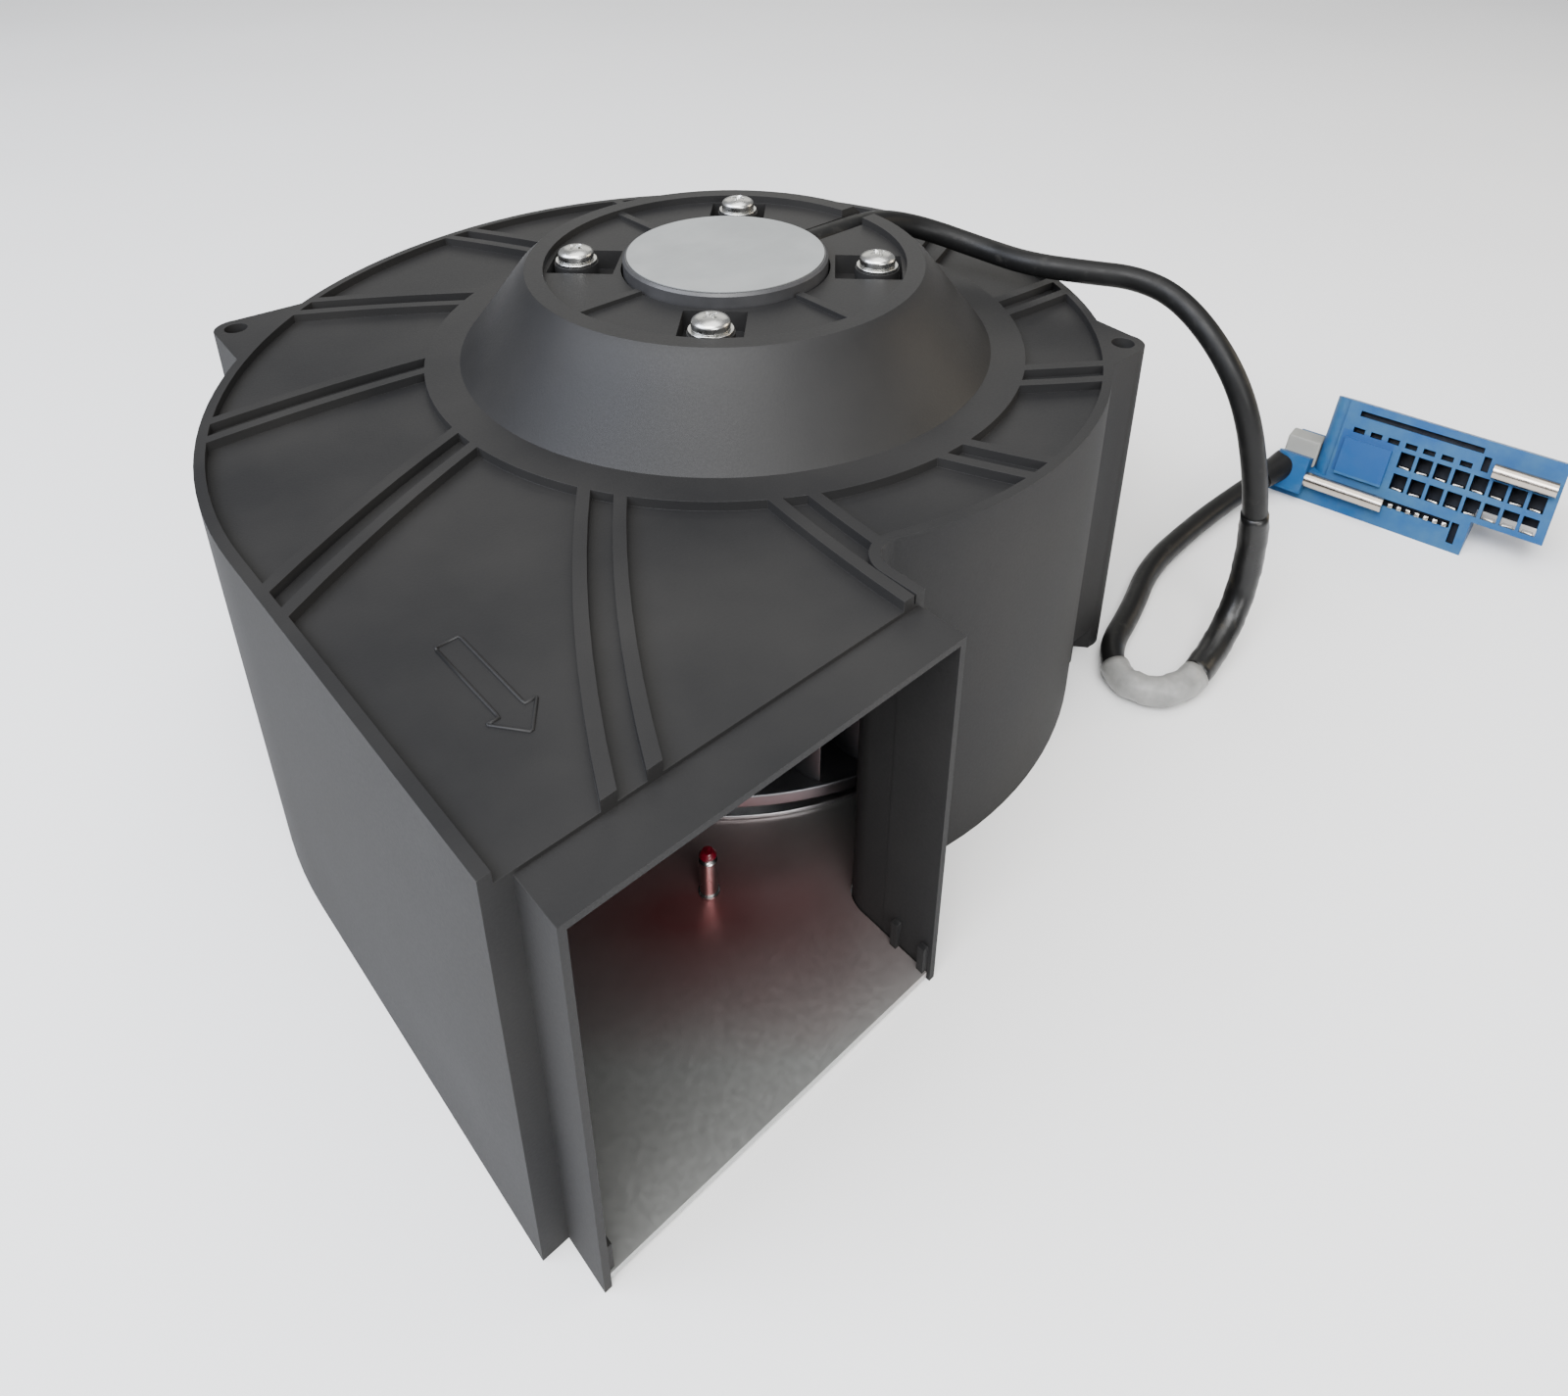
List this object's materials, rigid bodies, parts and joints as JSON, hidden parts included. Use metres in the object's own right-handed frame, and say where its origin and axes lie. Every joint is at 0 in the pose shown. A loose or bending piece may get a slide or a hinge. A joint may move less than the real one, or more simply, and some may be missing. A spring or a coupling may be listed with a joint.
{
  "type": "dc blower fan",
  "caption": "Single-inlet centrifugal blower in a black scroll housing, with a domed motor hub, a square side outlet, mounting ears and a cable ending in a blue connector.",
  "frame": {"origin": "on the wheel's axis, level with the foot of the housing, in the middle of the inlet", "axes": "+Z along the wheel's axis from the inlet to the motor hub; -Y the way the air leaves the outlet; +X from the outlet towards the tongue side"},
  "size_m": [0.3429, 0.2533, 0.1145],
  "materials": {
    "housing_plastic": "black moulded nylon, fine grain",
    "plate_steel": "zinc-plated sheet, satin",
    "stud_steel": "bright zinc-plated steel",
    "red_lacquer": "dried red lacquer",
    "ring_steel": "spun zinc-plated sheet",
    "rivet_steel": "plain steel",
    "cast_aluminium": "die cast, turned seats",
    "bearing_steel": "ground steel",
    "spring_steel": "spring steel",
    "core_steel": "stacked electrical steel",
    "winding_copper": "enamelled copper wire",
    "board_green": "solder mask",
    "chip_black": "moulded packages",
    "cap_plastic": "black moulded",
    "label_silver": "silver film label, bare",
    "screw_zinc": "bright zinc-plated",
    "can_steel": "drawn sheet steel",
    "magnet_ferrite": "bonded ferrite",
    "shaft_steel": "ground steel",
    "wheel_steel": "galvanised sheet",
    "cable_rubber": "black jacket",
    "sleeve_rubber": "heat-shrink sleeve",
    "wrap_white": "white marker tape",
    "connector_blue": "blue moulded",
    "clamp_grey": "grey moulded",
    "contact_metal": "tinned spring metal",
    "pin_steel": "polished steel"
  },
  "bodies": {
    "fan_frame": {"scroll_housing": "housing_plastic", "base_plate": "plate_steel", "outlet_stud": "stud_steel", "stud_lacquer": "red_lacquer", "inlet_ring": "ring_steel", "inlet_rivets": "rivet_steel", "motor_flange": "cast_aluminium", "lower_bearing_outer": "bearing_steel", "upper_bearing_outer": "bearing_steel", "preload_spring": "spring_steel", "stator_core": "core_steel", "stator_coils": "winding_copper", "drive_board": "board_green", "board_posts": "chip_black", "board_parts": "chip_black", "terminal_cap": "cap_plastic", "motor_label": "label_silver", "motor_screws": "screw_zinc", "motor_washers": "screw_zinc", "strain_relief": "cable_rubber", "motor_cable": "cable_rubber", "cable_sleeve": "sleeve_rubber", "marker_wrap": "wrap_white", "connector_lead": "cable_rubber", "lead_boot": "cable_rubber", "connector_body": "connector_blue", "cable_clamp": "clamp_grey", "connector_contacts": "contact_metal", "guide_pins": "pin_steel"},
    "wheel": {"rotor_can": "can_steel", "rotor_magnet": "magnet_ferrite", "rotor_shaft": "shaft_steel", "shaft_clip": "spring_steel", "lower_bearing_inner": "bearing_steel", "upper_bearing_inner": "bearing_steel", "wheel_back_plate": "wheel_steel", "wheel_end_ring": "wheel_steel", "wheel_blades": "wheel_steel", "wheel_rivets": "rivet_steel"}
  },
  "joints": [
    {"name": "wheel_spin", "type": "hinge", "parent": "fan_frame", "child": "wheel", "pos_m": [0, 0, 0.06], "axis": [0, 0, 1], "continuous": true}
  ]
}
